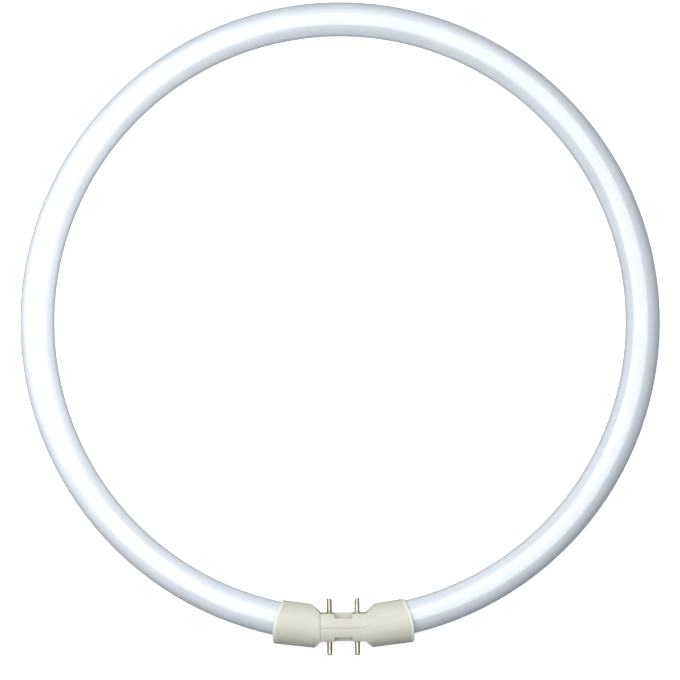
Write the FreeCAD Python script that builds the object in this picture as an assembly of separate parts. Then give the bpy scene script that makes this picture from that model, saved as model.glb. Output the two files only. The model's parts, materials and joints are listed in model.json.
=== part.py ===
import FreeCAD, Part

import math
import os

from FreeCAD import Vector

# A circular fluorescent lamp, lying flat: a bent glass tube whose two ends meet in a moulded plastic
# cap with four contact pins. Millimetres and degrees. Z is the axis of the ring, the cap is at -Y, and
# the origin is the centre of the ring, half way up the tube. "Inner" is the side towards the centre of
# the ring, "outer" the side away from it. In the cap, x is measured from its middle and v from its axis
# towards the centre of the ring. Each tube end runs straight on from where its bend stops.

# Glass ring
ring_outer_diameter = 300.0
tube_diameter = 16.0
straight_lead = 0.25
straight_length = 17.0
glass_end_round = 3.5
pump_tip_diameter = 3.4
pump_tip_length = 2.4
pump_tip_round = 1.5

# Cap, outside: a neck with the pins, and a sleeve on each side for a tube end
cap_offset = 0.9
mouth_x = 30.5
shoulder_wall = 1.95
mouth_inner_wall = 0.75
mouth_outer_wall = 3.65
mouth_land = 0.15
mouth_scoop = 2.0
shoulder_slope = 45.0
shoulder_round = 0.5
neck_length = 21.2
neck_width = 13.0
neck_step = 0.5
neck_round = 0.6

# Recess between the pins, at all four corners of the neck
recess_length = 8.4
recess_width = 2.0
recess_floor = 3.0

# Cap, inside
wall = 1.3
recess_wall = 1.2
bore_clearance = 0.2
cement_thickness = 0.8
cement_start = 4.0
cement_length = 8.0
cavity_overlap = 1.5
peg_diameter = 1.6
peg_length = 2.0
peg_clearance = 0.05
peg_end_gap = 0.2
peg_rib_width = 3.4
peg_offset = 5.0
seam_width = 0.2
seam_depth = 0.35

# Contact pins
pin_spacing = 13.0
pin_diameter = 2.35
pin_length = 6.8
pin_tip_round = 0.5
pin_barrel_step = 0.325
pin_flange_step = 0.4
pin_flange_thickness = 0.7
pin_boss_wall = 0.7
pin_boss_height = 1.3
pin_end_thickness = 1.0

# Lead wires
wire_diameter = 0.6
wire_clearance = 0.3
wire_exit_offset = 3.0
wire_exit_run = 1.6
wire_level = 1.0
wire_bend_share = 0.45

# Worked out from the sizes above
tube_radius = tube_diameter / 2
ring_radius = ring_outer_diameter / 2 - tube_radius
cap_radius = ring_radius + cap_offset
bore_radius = tube_radius + bore_clearance
shoulder_radius = bore_radius + shoulder_wall
mouth_radius = bore_radius + (mouth_inner_wall + mouth_outer_wall) / 2
mouth_offset = (mouth_outer_wall - mouth_inner_wall) / 2
mouth_round = mouth_inner_wall - mouth_land
mouth_angle = math.degrees(math.asin(mouth_x / ring_radius))
straight_angle = math.degrees(math.asin((mouth_x + straight_lead) / ring_radius))
neck_half = neck_length / 2
neck_face = neck_width / 2
neck_radius = shoulder_radius - neck_step
sleeve_middle = (neck_half + mouth_x) / 2
slope_turn = math.radians(shoulder_slope)
pin_x = pin_spacing / 2
pin_radius = pin_diameter / 2
pin_bore_radius = wire_diameter / 2 + wire_clearance
pin_barrel_radius = pin_radius + pin_barrel_step
pin_flange_radius = pin_barrel_radius + pin_flange_step
pin_inside = neck_face - wall - pin_boss_height
pin_tip = neck_face + pin_length
pin_bore_end = pin_tip - pin_end_thickness
beyond = 3 * sleeve_middle
tiny = 1e-6
x_axis, y_axis, z_axis = Vector(1, 0, 0), Vector(0, 1, 0), Vector(0, 0, 1)
sides = {"left": -1, "right": 1}
ways = {"inner": 1, "outer": -1}


def on_circle(radius, angle, side):
    """A point of the ring's mid-plane, so many degrees round the ring from the middle of the cap."""
    turn = math.radians(angle)
    return Vector(side * radius * math.sin(turn), -radius * math.cos(turn), 0)


def in_cap(x, v, z=0.0):
    """A point measured from the middle of the cap."""
    return Vector(x, v - cap_radius, z)


def prism(points, half_height):
    """A flat outline of the mid-plane, made as thick as twice half_height."""
    outline = Part.makePolygon([p - z_axis * half_height for p in points + points[:1]])
    return Part.Face(outline).extrude(z_axis * 2 * half_height)


def turned(profile, start, direction):
    """A solid turned about the line from start along direction. The profile lists (along, radius) corners,
    and (along, radius, round) for a corner that is rounded."""
    across = direction.cross(z_axis)
    place = [start + direction * p[0] + across * p[1] for p in profile]
    edges = []
    last = place[0]
    for i in range(1, len(profile) - 1):
        corner = place[i]
        if len(profile[i]) == 3:
            radius = profile[i][2]
            back = (place[i - 1] - corner).normalize()
            ahead = (place[i + 1] - corner).normalize()
            half = back.getAngle(ahead) / 2
            reach = radius / math.tan(half)
            middle = (back + ahead).normalize() * (radius / math.sin(half) - radius)
            arc_from, arc_to = corner + back * reach, corner + ahead * reach
            if (arc_from - last).Length > tiny:
                edges.append(Part.LineSegment(last, arc_from).toShape())
            edges.append(Part.Arc(arc_from, corner + middle, arc_to).toShape())
            last = arc_to
        else:
            if (corner - last).Length > tiny:
                edges.append(Part.LineSegment(last, corner).toShape())
            last = corner
    edges.append(Part.LineSegment(last, place[-1]).toShape())
    edges.append(Part.LineSegment(place[-1], place[0]).toShape())
    return Part.Face(Part.Wire(edges)).revolve(start, direction, 360)


def tube_end(side):
    """Where the tube's bend stops, the way it then runs straight on into the cap, and its end."""
    start = on_circle(ring_radius, straight_angle, side)
    turn = math.radians(straight_angle)
    direction = Vector(-side * math.cos(turn), -math.sin(turn), 0)
    return start, direction, start + direction * straight_length


def make_glass_tube():
    """The sealed glass tube: the bent ring, its two straight ends and their sealed pump tips."""
    start, direction, end = tube_end(1)
    section = Part.Face(Part.Wire(Part.makeCircle(tube_radius, start, direction)))
    glass = section.revolve(Vector(0, 0, 0), z_axis, 360 - 2 * straight_angle)
    tip_radius = pump_tip_diameter / 2
    profile = [
        (0, 0),
        (0, tube_radius),
        (straight_length, tube_radius, glass_end_round),
        (straight_length, tip_radius),
        (straight_length + pump_tip_length, tip_radius, pump_tip_round),
        (straight_length + pump_tip_length, 0),
    ]
    for side in sides.values():
        start, direction, end = tube_end(side)
        glass = glass.fuse(turned(profile, start, direction))
    return glass.removeSplitter()


def neck_section(x, grow):
    """The neck's rounded outline at x, grown by grow all round: bowed front and back, flat pin faces."""
    corner = neck_round + grow
    centre_v = neck_face - neck_round
    centre_z = math.sqrt((neck_radius - neck_round) ** 2 - centre_v**2)
    lean = math.atan2(centre_z, centre_v)

    def rounding(v_sign, z_sign):
        """Three points of one rounded corner, from the flat to the bow."""
        points = []
        for angle in (0, lean / 2, lean):
            v = centre_v + corner * math.cos(angle)
            z = centre_z + corner * math.sin(angle)
            points.append(in_cap(x, v_sign * v, z_sign * z))
        return points

    first, second = rounding(1, 1), rounding(-1, 1)[::-1]
    third, fourth = rounding(-1, -1), rounding(1, -1)[::-1]
    bow = neck_radius + grow
    curves = [
        Part.Arc(*first),
        Part.Arc(first[-1], in_cap(x, 0, bow), second[0]),
        Part.Arc(*second),
        Part.LineSegment(second[-1], third[0]),
        Part.Arc(*third),
        Part.Arc(third[-1], in_cap(x, 0, -bow), fourth[0]),
        Part.Arc(*fourth),
        Part.LineSegment(fourth[-1], first[0]),
    ]
    return Part.Wire([c.toShape() for c in curves])


def neck_block(reach, grow):
    """The neck as a straight block that runs on into both sleeves."""
    return Part.Face(neck_section(-reach, grow)).extrude(x_axis * 2 * reach)


def shoulder_cone(side, inset):
    """The slope from the neck to one sleeve: the neck's outline, growing evenly on its way outwards."""
    start = neck_half + inset * math.tan(slope_turn / 2)
    growth = beyond * math.tan(slope_turn)
    near = neck_section(side * start, -inset)
    far = neck_section(side * (start + beyond), growth - inset)
    return Part.makeLoft([near, far], True, True)


def sleeve_blank(side, inset):
    """One sleeve of the cap: a barrel with a slight taper, a slope down to the neck and a scooped mouth."""
    shoulder = tube_end(side)[2]
    mouth = on_circle(ring_radius + mouth_offset, mouth_angle, side)
    length = (mouth - shoulder).Length
    outward = (mouth - shoulder).normalize()
    taper = (mouth_radius - shoulder_radius) / length
    back = straight_length
    front = length + 2 * mouth_scoop
    low_radius = shoulder_radius - inset - taper * back
    high_radius = shoulder_radius - inset + taper * front
    sleeve = Part.makeCone(low_radius, high_radius, back + front, shoulder - outward * back, outward)
    sleeve = sleeve.common(shoulder_cone(side, inset))
    scoop_radius = (mouth_radius**2 + mouth_scoop**2) / 2 / mouth_scoop
    radial = on_circle(1, mouth_angle, side)
    along = z_axis.cross(radial) * side
    centre = radial * (ring_radius - beyond) + along * (scoop_radius - inset)
    return sleeve.cut(Part.makeCylinder(scoop_radius, 2 * beyond, centre, radial))


def cap_outside(inset=0.0):
    """The outside of the whole cap, or of one smaller by inset all over."""
    cap = neck_block(neck_half + wall, -inset)
    for side in sides.values():
        cap = cap.fuse(sleeve_blank(side, inset))
    return cap.removeSplitter()


def is_mouth_edge(edge):
    """The outer rims of the two mouths, which follow both the barrel and the scoop."""
    return abs(edge.BoundBox.Center.x) > sleeve_middle and edge.Curve.TypeId == "Part::GeomBSplineCurve"


def is_shoulder_edge(edge):
    """The ridges where the sleeves' barrels meet the slopes down to the neck."""
    return abs(edge.BoundBox.Center.x) < sleeve_middle and all(
        abs(v.Point.x) > neck_half + neck_step / 2
        and math.hypot(v.Point.y + cap_radius, v.Point.z) > shoulder_radius - neck_step
        for v in edge.Vertexes
    )


def rounded(solid, chosen, radius):
    """The solid with the chosen edges rounded."""
    return solid.makeFillet(radius, [e for e in solid.Edges if chosen(e)])


def recesses(grow=0.0):
    """The four recesses between the pins, or with grow the blocks of plastic that line them inside."""
    half = recess_length / 2 + grow
    depth = recess_width + grow
    floor = recess_floor - grow
    low_v = neck_face - depth
    cuts = []
    for way in ways.values():
        for front in (-1, 1):
            corner = in_cap(-half, low_v if way > 0 else -beyond, floor if front > 0 else -beyond)
            cuts.append(Part.makeBox(2 * half, beyond - low_v, beyond - floor, corner))
    return Part.makeCompound(cuts)


def make_pin(side, way):
    """A contact pin: a plain shaft outside, a thicker barrel with a flange moulded into the cap, and a bore
    for the lead wire."""
    flange = neck_face - wall
    profile = [
        (pin_inside, pin_bore_radius),
        (pin_inside, pin_barrel_radius),
        (flange - pin_flange_thickness, pin_barrel_radius),
        (flange - pin_flange_thickness, pin_flange_radius),
        (flange, pin_flange_radius),
        (flange, pin_barrel_radius),
        (neck_face, pin_barrel_radius),
        (neck_face, pin_radius),
        (pin_tip, pin_radius, pin_tip_round),
        (pin_tip, 0),
        (pin_bore_end, 0),
        (pin_bore_end, pin_bore_radius),
    ]
    return turned(profile, in_cap(side * pin_x, 0), y_axis * way)


def cap_cavity():
    """The free space inside the closed cap, without the glass tube's bores."""
    radius = neck_radius - wall
    reach = tube_end(1)[2].x + cavity_overlap
    face = neck_face - wall
    cavity = Part.makeCylinder(radius, 2 * reach, in_cap(-reach, 0), x_axis)
    cavity = cavity.common(Part.makeBox(2 * reach, 2 * face, 2 * radius, in_cap(-reach, -face, -radius)))
    cavity = cavity.cut(recesses(recess_wall))
    boss_radius = pin_flange_radius + pin_boss_wall
    for side in sides.values():
        for way in ways.values():
            boss_foot = in_cap(side * pin_x, way * pin_inside)
            cavity = cavity.cut(Part.makeCylinder(boss_radius, neck_width, boss_foot, y_axis * way))
    for front in (-1, 1):
        low = peg_offset - peg_rib_width / 2
        z = low if front > 0 else -low - beyond
        corner = in_cap(-peg_rib_width / 2, -neck_width, z)
        cavity = cavity.cut(Part.makeBox(peg_rib_width, 2 * neck_width, beyond, corner))
    return cavity


def tube_bore(side):
    """The bore that takes one end of the glass tube, with a groove for the cement."""
    start, direction, end = tube_end(side)
    depth = straight_length + bore_clearance
    profile = [(-beyond, 0), (-beyond, bore_radius), (depth, bore_radius, glass_end_round), (depth, 0)]
    groove_foot = start + direction * cement_start
    groove = Part.makeCylinder(tube_radius + cement_thickness, cement_length, groove_foot, direction)
    return turned(profile, start, direction).fuse(groove)


def make_cement(side):
    """The ring of cement that holds one end of the glass tube in its sleeve."""
    start, direction, end = tube_end(side)
    foot = start + direction * cement_start
    ring = Part.makeCylinder(tube_radius + cement_thickness, cement_length, foot, direction)
    return ring.cut(Part.makeCylinder(tube_radius, cement_length, foot, direction))


def parting_line():
    """The line on which the two shells meet: straight across the neck, then along each tube end."""
    points = []
    for side in sides.values():
        start, direction, end = tube_end(side)
        along = (start.y + cap_radius) / -direction.y
        pair = [start - direction * beyond, start + direction * along]
        points += pair if side < 0 else pair[::-1]
    return points


def inner_half():
    """All the space on the inner side of the parting line."""
    points = parting_line()
    top = [in_cap(points[-1].x, beyond), in_cap(points[0].x, beyond)]
    return prism(points + top, beyond)


def seam():
    """The fine groove round the neck where the two shells meet. On the sleeves they meet flush."""
    corner = in_cap(-neck_half, -seam_width / 2, -beyond)
    groove = Part.makeBox(neck_length, seam_width, 2 * beyond, corner)
    return groove.cut(cap_outside(seam_depth))


def cap_hollows():
    """All that is open in the cap or filled by other pieces: recesses, inside, bores, pins and seam."""
    hollows = cap_cavity().fuse(recesses())
    for side in sides.values():
        hollows = hollows.fuse(tube_bore(side))
        for way in ways.values():
            bore = Part.makeCylinder(pin_bore_radius, neck_face, in_cap(side * pin_x, 0), y_axis * way)
            hollows = hollows.fuse(make_pin(side, way).fuse(bore))
    return hollows.fuse(seam())


def make_shells():
    """The inner and outer shells of the cap, which close round the tube ends, wires and pins."""
    outside = rounded(cap_outside(), is_shoulder_edge, shoulder_round)
    hollows = cap_hollows()
    inner = rounded(outside.common(inner_half()), is_mouth_edge, mouth_round).cut(hollows)
    outer = rounded(outside.cut(inner_half()), is_mouth_edge, mouth_round).cut(hollows)
    for front in (-1, 1):
        foot = in_cap(0, 0, front * peg_offset)
        outer = outer.fuse(Part.makeCylinder(peg_diameter / 2, peg_length, foot, y_axis))
        socket = Part.makeCylinder(peg_diameter / 2 + peg_clearance, peg_length + peg_end_gap, foot, y_axis)
        inner = inner.cut(socket)
    return inner, outer


def rounded_path(points):
    """Straight runs joined by tangent arcs, each of which takes up an equal share of its shorter run."""
    edges = []
    last = points[0]
    for before, corner, after in zip(points, points[1:], points[2:]):
        back, ahead = before - corner, after - corner
        reach = wire_bend_share * min(back.Length, ahead.Length)
        half = back.getAngle(ahead) / 2
        radius = reach * math.tan(half)
        back.normalize()
        ahead.normalize()
        middle = (back + ahead).normalize() * (radius / math.sin(half) - radius)
        edges.append(Part.LineSegment(last, corner + back * reach).toShape())
        edges.append(Part.Arc(corner + back * reach, corner + middle, corner + ahead * reach).toShape())
        last = corner + ahead * reach
    edges.append(Part.LineSegment(last, points[-1]).toShape())
    return Part.Wire(edges)


def make_wire(side, way):
    """A lead wire from the end of the glass tube into the bore of its pin."""
    start, direction, end = tube_end(side)
    across = y_axis * way - direction * (y_axis * way).dot(direction)
    leave = end + across.normalize() * wire_exit_offset
    clear = leave + direction * wire_exit_run
    points = [
        leave,
        clear,
        in_cap((clear.x + side * pin_x) / 2, way * wire_level),
        in_cap(side * pin_x, way * wire_level),
        in_cap(side * pin_x, way * pin_bore_end),
    ]
    path = rounded_path(points)
    section = Part.Wire(Part.makeCircle(wire_diameter / 2, leave, direction))
    return path.makePipeShell([section], True, True)


def main():
    os.makedirs("parts", exist_ok=True)
    inner, outer = make_shells()
    parts = {"glass_tube": make_glass_tube(), "cap_inner_shell": inner, "cap_outer_shell": outer}
    for side_name, side in sides.items():
        parts[f"cement_ring_{side_name}"] = make_cement(side)
        for way_name, way in ways.items():
            parts[f"contact_pin_{way_name}_{side_name}"] = make_pin(side, way)
            parts[f"lead_wire_{way_name}_{side_name}"] = make_wire(side, way)
    for name, shape in parts.items():
        shape.exportStep(f"parts/{name}.step")
        print(name, "valid", shape.isValid(), "solids", len(shape.Solids), "volume", round(shape.Volume, 2))


main()
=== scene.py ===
import json
import math

import bpy
from mathutils import Matrix, Vector


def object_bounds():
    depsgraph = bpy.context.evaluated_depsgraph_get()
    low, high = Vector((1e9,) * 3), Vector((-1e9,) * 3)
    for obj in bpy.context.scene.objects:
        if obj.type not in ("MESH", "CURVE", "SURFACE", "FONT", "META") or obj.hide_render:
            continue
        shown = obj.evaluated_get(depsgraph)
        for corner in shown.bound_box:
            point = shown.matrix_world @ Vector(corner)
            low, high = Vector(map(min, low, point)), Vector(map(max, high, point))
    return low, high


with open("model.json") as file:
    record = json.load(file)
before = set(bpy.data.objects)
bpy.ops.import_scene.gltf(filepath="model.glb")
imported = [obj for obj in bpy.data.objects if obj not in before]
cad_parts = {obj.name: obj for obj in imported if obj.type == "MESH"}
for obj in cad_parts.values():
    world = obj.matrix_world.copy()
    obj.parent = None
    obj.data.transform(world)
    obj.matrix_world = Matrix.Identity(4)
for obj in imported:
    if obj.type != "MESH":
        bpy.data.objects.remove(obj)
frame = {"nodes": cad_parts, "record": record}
cad_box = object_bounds()

# The dressed part is a circular fluorescent lamp lying flat: a coated glass ring and a plastic cap with
# four brass pins. Lengths are in metres in the part's frame, powers in watts. Colours are linear.

# Sizes repeated from the part's source, for the painted highlight on the lip round each mouth of the cap
RING_RADIUS = 0.142
MOUTH_X = 0.0305
MOUTH_RADIUS = 0.0104
MOUTH_SCOOP = 0.002
MOUTH_ANGLE = math.asin(MOUTH_X / RING_RADIUS)
SCOOP_RADIUS = (MOUTH_RADIUS**2 + MOUTH_SCOOP**2) / 2 / MOUTH_SCOOP
LIP_HIGHLIGHT_WIDTH = 0.0013
LIP_HIGHLIGHT_BLEND = 0.0002

# Colours of the coated glass: the powder's two tones, its grain, and the tint of the wall over it
POWDER_DARK = (0.66, 0.67, 0.68)
POWDER_PALE = (0.69, 0.70, 0.71)
GRAIN_COLOUR = (0.64, 0.65, 0.67)
WALL_TINT = (0.888, 0.922, 0.952)

# Colours of the cap: the plastic's two tones, its specks, and the painted highlight on the lip of its mouths
PLASTIC_DARK = (0.515, 0.50, 0.425)
PLASTIC_PALE = (0.54, 0.53, 0.46)
SPECK_COLOUR = (0.47, 0.455, 0.38)
# Painted highlight: the lip round each mouth is paler where its rounded rim would catch the light
LIP_HIGHLIGHT_COLOUR = (0.66, 0.66, 0.61)

# Colours of the metals, clean and tarnished, and of the cement
BRASS_BRIGHT = (0.50, 0.45, 0.37)
BRASS_DULL = (0.38, 0.34, 0.27)
WIRE_BRIGHT = (0.66, 0.65, 0.62)
WIRE_DULL = (0.50, 0.49, 0.46)
CEMENT_DARK = (0.34, 0.28, 0.21)
CEMENT_PALE = (0.52, 0.46, 0.37)

# Noise patterns: waves in a metre, detail, and the pattern's own roughness where it isn't the usual one
GLASS_CLOUDS = (55.0, 4.0)
GLASS_POWDER = (2400.0, 2.0)
GLASS_WAVES = (28.0, 1.0)
PLASTIC_CLOUDS = (70.0, 4.0)
PLASTIC_SPECKS = (1500.0, 3.0)
PLASTIC_GRAIN = (3200.0, 3.0)
METAL_TARNISH = (420.0, 4.0)
CEMENT_PITS = (1800.0, 5.0, 0.65)
FLOOR_GRAIN = (900.0, 2.0)

# Bands of a pattern's values, each spread over a whole range of colour or roughness
MIDDLE_BAND = (0.3, 0.7)
CLOUD_BAND = (0.35, 0.65)
POWDER_BAND = (0.4, 0.75)
SPECK_BAND = (0.5, 0.8)
TARNISH_BAND = (0.35, 0.7)

# Shares of the second colour in a blend, at the lower and upper end of the band
FULL_SHARE = (0.0, 1.0)
FALLING_SHARE = (1.0, 0.0)
GRAIN_SHARE = (0.0, 0.35)
SPECK_SHARE = (0.0, 0.5)

# Roughness of the surfaces, as a range where a pattern varies it
WALL_ROUGHNESS = 0.16
FLOOR_ROUGHNESS = 0.9
POWDER_ROUGHNESS = (0.55, 0.75)
PLASTIC_ROUGHNESS = (0.42, 0.55)
BRASS_ROUGHNESS = (0.18, 0.3)
WIRE_ROUGHNESS = (0.3, 0.45)
CEMENT_ROUGHNESS = (0.8, 0.95)

# Gloss of the surfaces
WALL_IOR = 1.9
POWDER_GLOSS = 0.1
PLASTIC_GLOSS = 0.35
CEMENT_GLOSS = 0.2
FLOOR_GLOSS = 0.1

# Heights of the bumps
WAVE_HEIGHT = 0.00012
POWDER_HEIGHT = 0.00002
GRAIN_HEIGHT = 0.00003
PIT_HEIGHT = 0.0001

# Fine marks round the metals: marks in a metre, their height, and how uneven they are
BRASS_MARKS = 900.0
BRASS_MARK_HEIGHT = 0.000006
WIRE_MARKS = 1500.0
WIRE_MARK_HEIGHT = 0.000004
MARK_DISTORTION = 1.5
MARK_DETAIL = 2.0
MARK_DETAIL_SCALE = 3.0

# Camera: straight above, framed as in the photograph, with its slight roll
FRAME_WIDTH = 0.3189
CAMERA_LENS = 240.0
CAMERA_SENSOR = 36.0
CAMERA_ROLL = math.radians(-0.64)
CAMERA_SHIFT_DOWN = 0.0084
CAMERA_REACH = 20.0

# Floor and surroundings
FLOOR_SIZE = 8.0
FLOOR_COLOUR = (0.86, 0.86, 0.86)
FLOOR_GRAIN_SHADE = 0.985
FLOOR_GLOW_COLOUR = (1.0, 1.0, 1.0)
FLOOR_GLOW = 0.55
WORLD_COLOUR = (0.76, 0.88, 1.0)
WORLD_STRENGTH = 0.21

# Rectangular lights: name, place, target, width, height and power
BOX_LIGHTS = [
    ("overhead_box", (0, 0.08, 1.05), (0, 0, 0), 1.6, 1.6, 15.8),
    ("key_box", (-1.2, 1.0, 1.6), (0, 0, 0), 1.8, 1.8, 7.0),
    ("far_panel", (0, 1.9, 1.4), (0, 0, 0), 3.2, 1.8, 13.5),
    ("left_box", (-0.5, 0.05, 0.5), (-RING_RADIUS, 0.02, 0), 0.5, 0.5, 1.8),
]

# Pool of light on the left limb of the ring, straight below its lamp
POOL_PLACE = (-RING_RADIUS, 0.02, 1.0)
POOL_COLOUR = (1.0, 0.95, 0.94)
POOL_POWER = 26.0
POOL_ANGLE = math.radians(17.0)
POOL_LAMP_RADIUS = 0.08

# Weak light that comes up from the floor: from a wide square, and from a disc inside the ring
BOUNCE_TARGET = (0, 0, 1)
SQUARE_SIZE = 1.2
SQUARE_POWER = 0.35
SQUARE_GAP = 0.0001
DISC_DIAMETER = 0.24
DISC_POWER = 0.06
DISC_GAP = 0.0002


def add_node(tree, kind, settings=None, **inputs):
    """A new node of the tree with its settings and input values."""
    node = tree.nodes.new(kind)
    for name, value in (settings or {}).items():
        setattr(node, name, value)
    for name, value in inputs.items():
        node.inputs[name.replace("_", " ")].default_value = value
    return node


def math_node(tree, operation, first, second=None):
    """The output of a math node whose inputs are numbers or other nodes' outputs."""
    node = add_node(tree, "ShaderNodeMath", {"operation": operation})
    for socket, value in zip(node.inputs, (first, second)):
        if value is None:
            continue
        if isinstance(value, (int, float)):
            socket.default_value = value
        else:
            tree.links.new(value, socket)
    return node.outputs[0]


def place_of(tree):
    """The output that gives a point's place in the part's frame."""
    return add_node(tree, "ShaderNodeTexCoord").outputs["Object"]


def noise(tree, place, waves, detail, roughness=0.5):
    """The output of a noise pattern with so many waves in a metre."""
    node = add_node(tree, "ShaderNodeTexNoise", Scale=waves, Detail=detail, Roughness=roughness)
    tree.links.new(place, node.inputs["Vector"])
    return node.outputs["Fac"]


def ranged(tree, value, band, target):
    """The value spread from a band to a target range, smoothly and held at its ends."""
    node = add_node(tree, "ShaderNodeMapRange", {"interpolation_type": "SMOOTHSTEP"})
    for name, number in zip(("From Min", "From Max", "To Min", "To Max"), (*band, *target)):
        node.inputs[name].default_value = number
    tree.links.new(value, node.inputs["Value"])
    return node.outputs["Result"]


def blended(tree, share, first, second):
    """A colour between two others, each a colour or a node's output."""
    node = add_node(tree, "ShaderNodeMix", {"data_type": "RGBA"})
    factor, _, _, _, _, _, one, two = node.inputs[:8]
    tree.links.new(share, factor)
    for socket, value in ((one, first), (two, second)):
        if isinstance(value, tuple):
            socket.default_value = (*value, 1.0)
        else:
            tree.links.new(value, socket)
    return node.outputs[2]


def bumped(tree, height, distance):
    """The normal of a surface that the height raises by up to the distance."""
    node = add_node(tree, "ShaderNodeBump", Strength=1.0, Distance=distance)
    tree.links.new(height, node.inputs["Height"])
    return node.outputs["Normal"]


def new_material(name, **inputs):
    """A material, its node tree and its shader with the given input values."""
    material = bpy.data.materials.new(name)
    material.use_nodes = True
    tree = material.node_tree
    shader = tree.nodes["Principled BSDF"]
    for key, value in inputs.items():
        shader.inputs[key.replace("_", " ")].default_value = value
    return material, tree, shader


def set_inputs(tree, shader, **outputs):
    """Links node outputs to the shader's inputs."""
    for name, output in outputs.items():
        tree.links.new(output, shader.inputs[name.replace("_", " ")])


def from_mouth(tree, place):
    """How far a point lies beyond the nearer mouth of the cap, away from the cap, and its height."""
    parts = add_node(tree, "ShaderNodeSeparateXYZ")
    tree.links.new(place, parts.inputs[0])
    x, y, z = parts.outputs
    across = math_node(tree, "MULTIPLY", math_node(tree, "ABSOLUTE", x), math.cos(MOUTH_ANGLE))
    up = math_node(tree, "MULTIPLY", y, math.sin(MOUTH_ANGLE))
    return math_node(tree, "ADD", across, up), z


def into_sleeve(tree, place):
    """How deep a point lies behind the scooped face of the nearer mouth."""
    beyond, z = from_mouth(tree, place)
    along = math_node(tree, "SUBTRACT", SCOOP_RADIUS, beyond)
    along_squared = math_node(tree, "MULTIPLY", along, along)
    z_squared = math_node(tree, "MULTIPLY", z, z)
    distance = math_node(tree, "SQRT", math_node(tree, "ADD", along_squared, z_squared))
    return math_node(tree, "SUBTRACT", distance, SCOOP_RADIUS)


def glass_material():
    """Clear glass over a white powder coating: cool white with fine mottling under a glossy wall."""
    material, tree, shader = new_material(
        "coated_glass_look",
        Coat_Weight=1.0,
        Coat_Roughness=WALL_ROUGHNESS,
        Coat_IOR=WALL_IOR,
        Coat_Tint=(*WALL_TINT, 1.0),
        Specular_IOR_Level=POWDER_GLOSS,
    )
    place = place_of(tree)
    clouds = noise(tree, place, *GLASS_CLOUDS)
    powder = noise(tree, place, *GLASS_POWDER)
    waves = noise(tree, place, *GLASS_WAVES)
    base = blended(tree, ranged(tree, clouds, CLOUD_BAND, FULL_SHARE), POWDER_DARK, POWDER_PALE)
    set_inputs(
        tree,
        shader,
        Base_Color=blended(tree, ranged(tree, powder, POWDER_BAND, GRAIN_SHARE), base, GRAIN_COLOUR),
        Roughness=ranged(tree, powder, MIDDLE_BAND, POWDER_ROUGHNESS),
        Normal=bumped(tree, powder, POWDER_HEIGHT),
        Coat_Normal=bumped(tree, waves, WAVE_HEIGHT),
    )
    return material


def plastic_material():
    """Moulded thermoset plastic: warm light grey with a fine grain, and a painted highlight that makes the
    lip round each mouth paler.
    """
    material, tree, shader = new_material("cap_plastic_look", Specular_IOR_Level=PLASTIC_GLOSS)
    place = place_of(tree)
    clouds = noise(tree, place, *PLASTIC_CLOUDS)
    specks = noise(tree, place, *PLASTIC_SPECKS)
    grain = noise(tree, place, *PLASTIC_GRAIN)
    # Painted highlight: a paler band on the rim of each mouth, standing in for light caught by its rounded
    # edge
    lip_highlight_band = (LIP_HIGHLIGHT_WIDTH, LIP_HIGHLIGHT_WIDTH + LIP_HIGHLIGHT_BLEND)
    lip_highlight = ranged(tree, into_sleeve(tree, place), lip_highlight_band, FALLING_SHARE)
    body = blended(tree, ranged(tree, clouds, MIDDLE_BAND, FULL_SHARE), PLASTIC_DARK, PLASTIC_PALE)
    body = blended(tree, ranged(tree, specks, SPECK_BAND, SPECK_SHARE), body, SPECK_COLOUR)
    set_inputs(
        tree,
        shader,
        Base_Color=blended(tree, lip_highlight, body, LIP_HIGHLIGHT_COLOUR),
        Roughness=ranged(tree, clouds, MIDDLE_BAND, PLASTIC_ROUGHNESS),
        Normal=bumped(tree, grain, GRAIN_HEIGHT),
    )
    return material


def turned_metal(name, bright, dull, marks_in_metre, mark_height, roughness):
    """Metal with fine marks across y and a thin uneven tarnish."""
    material, tree, shader = new_material(name, Metallic=1.0)
    place = place_of(tree)
    marks = add_node(
        tree,
        "ShaderNodeTexWave",
        {"wave_type": "BANDS", "bands_direction": "Y"},
        Scale=marks_in_metre,
        Distortion=MARK_DISTORTION,
        Detail=MARK_DETAIL,
        Detail_Scale=MARK_DETAIL_SCALE,
    )
    tree.links.new(place, marks.inputs["Vector"])
    tarnish = noise(tree, place, *METAL_TARNISH)
    set_inputs(
        tree,
        shader,
        Base_Color=blended(tree, ranged(tree, tarnish, TARNISH_BAND, FULL_SHARE), bright, dull),
        Roughness=ranged(tree, tarnish, MIDDLE_BAND, roughness),
        Normal=bumped(tree, marks.outputs["Fac"], mark_height),
    )
    return material


def brass_material():
    """The pins' pale brass."""
    return turned_metal(
        "pin_brass_look", BRASS_BRIGHT, BRASS_DULL, BRASS_MARKS, BRASS_MARK_HEIGHT, BRASS_ROUGHNESS
    )


def wire_material():
    """The lead wires' drawn nickel-coloured metal."""
    return turned_metal(
        "lead_wire_look", WIRE_BRIGHT, WIRE_DULL, WIRE_MARKS, WIRE_MARK_HEIGHT, WIRE_ROUGHNESS
    )


def cement_material():
    """Baked cement: brown-grey, dull and pitted."""
    material, tree, shader = new_material("cap_cement_look", Specular_IOR_Level=CEMENT_GLOSS)
    pits = noise(tree, place_of(tree), *CEMENT_PITS)
    set_inputs(
        tree,
        shader,
        Base_Color=blended(tree, ranged(tree, pits, MIDDLE_BAND, FULL_SHARE), CEMENT_DARK, CEMENT_PALE),
        Roughness=ranged(tree, pits, MIDDLE_BAND, CEMENT_ROUGHNESS),
        Normal=bumped(tree, pits, PIT_HEIGHT),
    )
    return material


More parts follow.
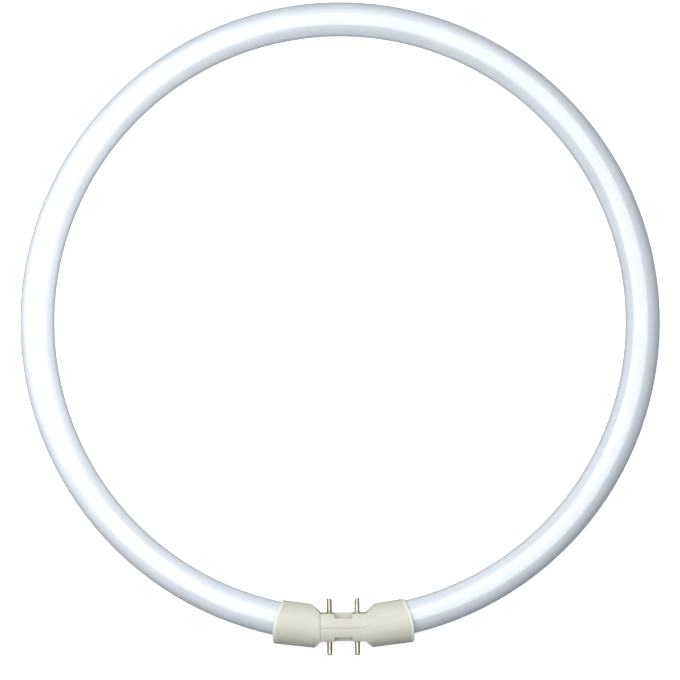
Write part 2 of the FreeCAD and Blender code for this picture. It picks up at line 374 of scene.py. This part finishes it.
def dress_nodes():
    """Gives every node of the part the look of its material slot."""
    looks = {
        "coated_glass": glass_material(),
        "cap_plastic": plastic_material(),
        "pin_brass": brass_material(),
        "lead_wire": wire_material(),
        "cap_cement": cement_material(),
    }
    for part in frame["record"]["subparts"]:
        node = frame["nodes"][part["node"]]
        for slot in node.material_slots:
            slot.material = looks[part["material_slot"]]


def floor_material():
    """Matt white card with a barely visible grain."""
    material, tree, shader = new_material(
        "floor_card",
        Roughness=FLOOR_ROUGHNESS,
        Specular_IOR_Level=FLOOR_GLOSS,
        Emission_Color=(*FLOOR_GLOW_COLOUR, 1.0),
        Emission_Strength=FLOOR_GLOW,
    )
    grain = noise(tree, place_of(tree), *FLOOR_GRAIN)
    shaded = tuple(FLOOR_GRAIN_SHADE * c for c in FLOOR_COLOUR)
    set_inputs(tree, shader, Base_Color=blended(tree, grain, FLOOR_COLOUR, shaded))
    return material


def make_floor(level):
    """A wide pale floor at the level on which the part lies. The part neither mirrors it nor gets light
    from it, so the lower edges of the tube stay as dark as in the photograph, whose backdrop is far away."""
    half = FLOOR_SIZE / 2
    mesh = bpy.data.meshes.new("floor")
    corners = [(-half, -half, level), (half, -half, level), (half, half, level), (-half, half, level)]
    mesh.from_pydata(corners, [], [(0, 1, 2, 3)])
    mesh.materials.append(floor_material())
    floor = bpy.data.objects.new("floor", mesh)
    bpy.context.scene.collection.objects.link(floor)
    floor.visible_diffuse = False
    floor.visible_glossy = False


def make_camera():
    """The camera looks straight down on the ring."""
    data = bpy.data.cameras.new("camera")
    data.sensor_width = CAMERA_SENSOR
    data.lens = CAMERA_LENS
    data.clip_end = CAMERA_REACH
    camera = bpy.data.objects.new("camera", data)
    bpy.context.scene.collection.objects.link(camera)
    height = FRAME_WIDTH * CAMERA_LENS / CAMERA_SENSOR
    right = Vector((math.cos(CAMERA_ROLL), math.sin(CAMERA_ROLL), 0))
    up = Vector((-math.sin(CAMERA_ROLL), math.cos(CAMERA_ROLL), 0))
    turn = Matrix((right, up, Vector((0, 0, 1)))).transposed()
    place = -up * CAMERA_SHIFT_DOWN + Vector((0, 0, height))
    camera.matrix_world = Matrix.Translation(place) @ turn.to_4x4()
    bpy.context.scene.camera = camera


def add_light(name, kind, place, power):
    """A light of a kind at a place, unseen by the camera, and its settings."""
    data = bpy.data.lights.new(name, kind)
    data.energy = power
    light = bpy.data.objects.new(name, data)
    bpy.context.scene.collection.objects.link(light)
    light.location = place
    light.visible_camera = False
    return light, data


def box_light(name, place, target, width, height, power):
    """A soft box at a place, facing a target. Its settings are returned."""
    light, data = add_light(name, "AREA", place, power)
    data.shape = "RECTANGLE"
    data.size = width
    data.size_y = height
    light.rotation_euler = (Vector(target) - Vector(place)).to_track_quat("-Z", "Y").to_euler()
    return data


def left_pool():
    """A soft pool of light from above on the left limb, which the photograph shows nearly white."""
    _, data = add_light("left_pool", "SPOT", POOL_PLACE, POOL_POWER)
    data.color = POOL_COLOUR
    data.spot_size = POOL_ANGLE
    data.spot_blend = 1.0
    data.shadow_soft_size = POOL_LAMP_RADIUS


def floor_bounce(level):
    """Weak light that comes up from the floor, stronger inside the ring, and fills the undersides."""
    place = (0, 0, level + SQUARE_GAP)
    box_light("floor_bounce", place, BOUNCE_TARGET, SQUARE_SIZE, SQUARE_SIZE, SQUARE_POWER)
    place = (0, 0, level + DISC_GAP)
    disc = box_light("inner_bounce", place, BOUNCE_TARGET, DISC_DIAMETER, DISC_DIAMETER, DISC_POWER)
    disc.shape = "DISK"


def make_surroundings():
    """Even cool light from all sides."""
    world = bpy.data.worlds.new("studio")
    world.use_nodes = True
    background = world.node_tree.nodes["Background"]
    background.inputs["Color"].default_value = (*WORLD_COLOUR, 1.0)
    background.inputs["Strength"].default_value = WORLD_STRENGTH
    bpy.context.scene.world = world


def make_lights(level):
    """Soft studio light: from overhead, the top and the left of the picture, and weakly from the floor."""
    for settings in BOX_LIGHTS:
        box_light(*settings)
    left_pool()
    floor_bounce(level)
    make_surroundings()


def main():
    """Dresses the part and sets up its floor, camera and light."""
    level = cad_box[0].z
    dress_nodes()
    make_floor(level)
    make_camera()
    make_lights(level)
    bpy.context.scene.view_settings.view_transform = "Standard"


main()
